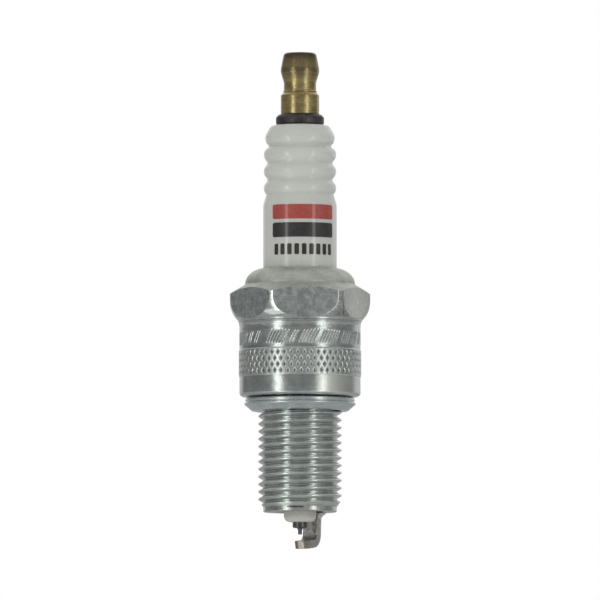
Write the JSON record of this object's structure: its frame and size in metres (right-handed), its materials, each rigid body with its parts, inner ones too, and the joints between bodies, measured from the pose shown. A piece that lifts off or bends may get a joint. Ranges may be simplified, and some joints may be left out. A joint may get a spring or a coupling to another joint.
{
  "type": "spark plug",
  "caption": "Threaded ignition plug: white ribbed ceramic body, brass screw-on terminal, plated steel hex shell with ring gasket, fine-wire centre electrode and bent ground strap.",
  "frame": {"origin": "on the plug's axis, in the plane of the gasket's sealing face", "axes": "+Z along the axis towards the terminal; -Z is the way the plug goes into the cylinder head; +X is the reference for the strap, which stands 61 degrees from it towards +Y"},
  "size_m": [0.0232, 0.0216, 0.0823],
  "materials": {
    "zinc_plated_steel": "bright zinc plated, turned, fine tool rings",
    "gasket_steel": "zinc plated folded sheet, slightly blue",
    "oxidised_steel": "darkened, brown-black, satin",
    "terminal_brass": "turned, tarnished, darker at the top",
    "nickel_alloy": "drawn strip and wire, satin, grey-brown",
    "iridium_alloy": "fine drawn wire",
    "copper": "drawn",
    "white_glazed_alumina": "smooth white glaze, bare and greyer at the nose",
    "sealing_glass": "copper-filled glass, dull brown",
    "resistor_compound": "dull black carbon and glass",
    "talc": "pressed powder",
    "red_print": "fired ink on the glaze",
    "black_print": "fired ink on the glaze"
  },
  "bodies": {
    "plug": {"shell": "zinc_plated_steel", "ground_electrode": "nickel_alloy", "seat_washer": "zinc_plated_steel", "lower_packing_ring": "zinc_plated_steel", "upper_packing_ring": "zinc_plated_steel", "talc_ring": "talc", "insulator": "white_glazed_alumina", "centre_electrode": "nickel_alloy", "copper_core": "copper", "iridium_pin": "iridium_alloy", "lower_glass_seal": "sealing_glass", "resistor": "resistor_compound", "upper_glass_seal": "sealing_glass", "terminal_stud": "oxidised_steel"},
    "terminal_nut": {"terminal_nut": "terminal_brass"},
    "gasket": {"gasket": "gasket_steel"}
  },
  "joints": [
    {"name": "terminal_nut_lift", "type": "slide", "parent": "plug", "child": "terminal_nut", "axis": [0, 0, 1], "range_m": [0, 0.009]},
    {"name": "gasket_turn", "type": "hinge", "parent": "plug", "child": "gasket", "pos_m": [0, 0, 0.001], "axis": [0, 0, 1], "continuous": true}
  ]
}
